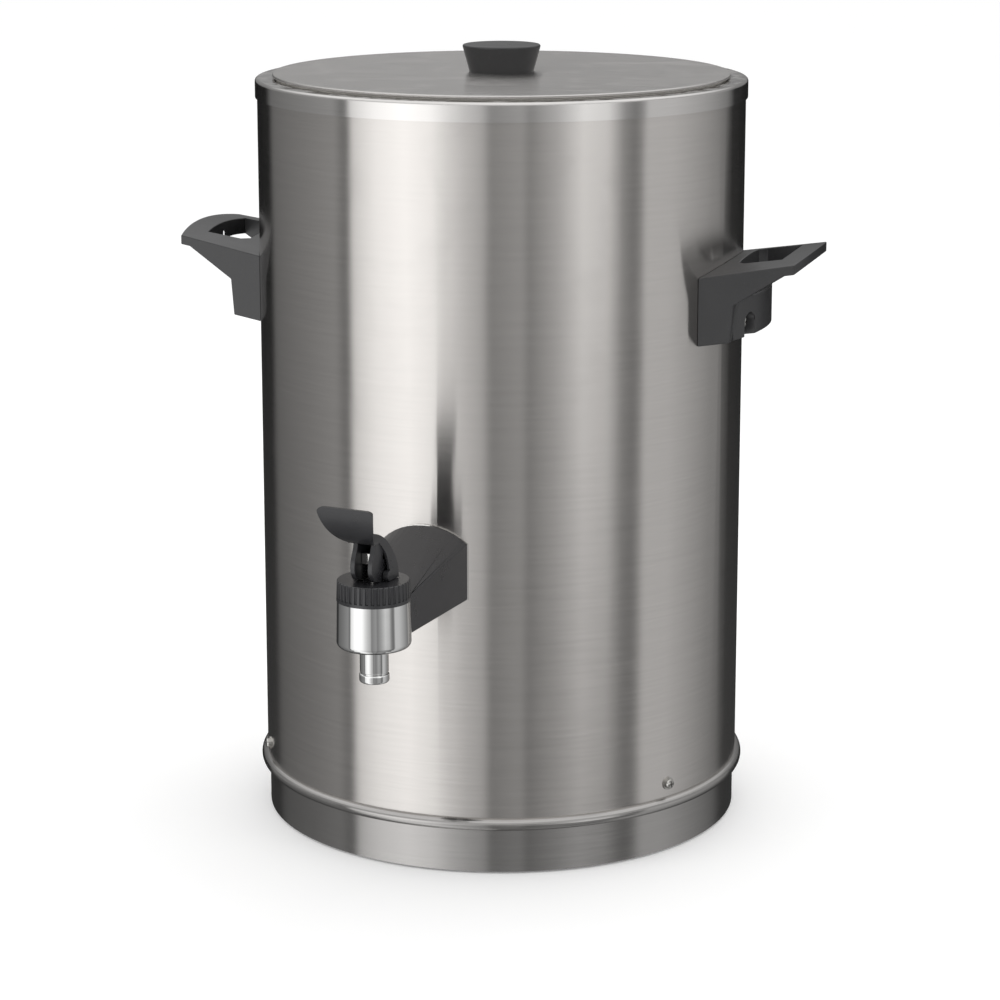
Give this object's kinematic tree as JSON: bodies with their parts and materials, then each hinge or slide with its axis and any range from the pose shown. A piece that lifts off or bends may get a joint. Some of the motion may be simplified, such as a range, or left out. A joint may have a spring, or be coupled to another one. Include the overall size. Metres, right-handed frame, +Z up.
{
  "type": "hot water urn",
  "caption": "Cylindrical double-walled hot water urn with a lift-off lid, side handles, a raised lever tap, a base ring and a rear appliance inlet.",
  "frame": {"origin": "on the urn's axis, at the level of the table that the feet stand on", "axes": "+Z up along the urn's axis, -Y towards the front and the tap, +X towards the right handle"},
  "size_m": [0.428, 0.4617, 0.5143],
  "materials": {
    "shell_steel": "fine brushed around the body",
    "base_steel": "fine brushed",
    "rim_steel": "bright brushed",
    "vessel_steel": "satin, drawn",
    "lid_steel": "satin, brushed",
    "plain_steel": "plain pressed sheet",
    "bright_steel": "bright",
    "fastener_steel": "bright zinc",
    "spreader_aluminium": "plain",
    "element_steel": "heat-darkened",
    "stat_ceramic": "glazed steatite",
    "tap_chrome": "polished",
    "handle_black": "fine satin grain",
    "tap_black": "fine satin grain",
    "knob_black": "satin",
    "inlet_black": "satin",
    "contact_brass": "nickel-flashed",
    "silicone": "milky, translucent",
    "foot_rubber": "matt",
    "mineral_wool": "felted mineral fibre",
    "wire_brown": "smooth",
    "wire_blue": "smooth",
    "wire_green": "smooth"
  },
  "bodies": {
    "root": {"outer_shell": "shell_steel", "base_ring": "base_steel", "base_support_ring": "plain_steel", "base_plate": "plain_steel", "base_plate_screws": "fastener_steel", "base_ring_screws": "fastener_steel", "base_ring_washers": "fastener_steel", "feet": "foot_rubber", "foot_screws": "fastener_steel", "rim_ring": "rim_steel", "inner_vessel": "vessel_steel", "insulation_jacket": "mineral_wool", "insulation_pad": "mineral_wool", "heat_shield": "plain_steel", "shield_nut": "fastener_steel", "heater_plate": "spreader_aluminium", "heating_element": "element_steel", "heater_clamp": "plain_steel", "heater_nut": "fastener_steel", "control_thermostat": "stat_ceramic", "thermal_cutout": "stat_ceramic", "thermostat_brackets": "plain_steel", "bracket_nuts": "fastener_steel", "live_wire": "wire_brown", "neutral_wire": "wire_blue", "earth_wire": "wire_green", "link_wires": "wire_brown", "earth_nut": "fastener_steel", "appliance_inlet": "inlet_black", "inlet_pins": "contact_brass", "inlet_bezel": "inlet_black", "inlet_screws": "fastener_steel", "handle_left": "handle_black", "handle_right": "handle_black", "handle_screws_left": "fastener_steel", "handle_screws_right": "fastener_steel", "handle_backing_left": "plain_steel", "handle_backing_right": "plain_steel", "tap_body": "tap_chrome", "tap_spout": "tap_chrome", "tap_bonnet": "tap_black", "bonnet_seal": "silicone", "tap_arm_cover": "tap_black", "tap_mount_plate": "bright_steel", "shank_locknut": "fastener_steel", "shank_outer_seal": "silicone", "shank_inner_seal": "silicone", "shank_inner_nut": "fastener_steel", "valve_spring": "fastener_steel"},
    "lid": {"lid_disc": "lid_steel", "lid_pan": "vessel_steel", "lid_insulation": "mineral_wool", "lid_seal": "silicone", "lid_knob": "knob_black", "knob_screw": "fastener_steel"},
    "tap_stem": {"valve_stem": "bright_steel", "seat_cup": "silicone"},
    "tap_lever": {"tap_lever": "tap_black", "lever_pin": "fastener_steel"}
  },
  "joints": [
    {"name": "lid_lift", "type": "slide", "parent": "root", "child": "lid", "axis": [0, 0, 1], "range_m": [0, 0.15]},
    {"name": "stem_lift", "type": "slide", "parent": "root", "child": "tap_stem", "axis": [0, 0, 1], "range_m": [0, 0.0025], "deforming": ["valve_spring"]},
    {"name": "lever_tilt", "type": "hinge", "parent": "tap_stem", "child": "tap_lever", "pos_m": [0, -0.254, 0.2334], "axis": [0.9903, -0.1392, 0], "range_deg": [0, 26], "stiffness_Nm_per_rad": 0.0455, "springref_deg": -41.6}
  ],
  "couplings": [
    {"joint": "stem_lift", "follows": "lever_tilt", "m_per_rad": 0.005509}
  ]
}
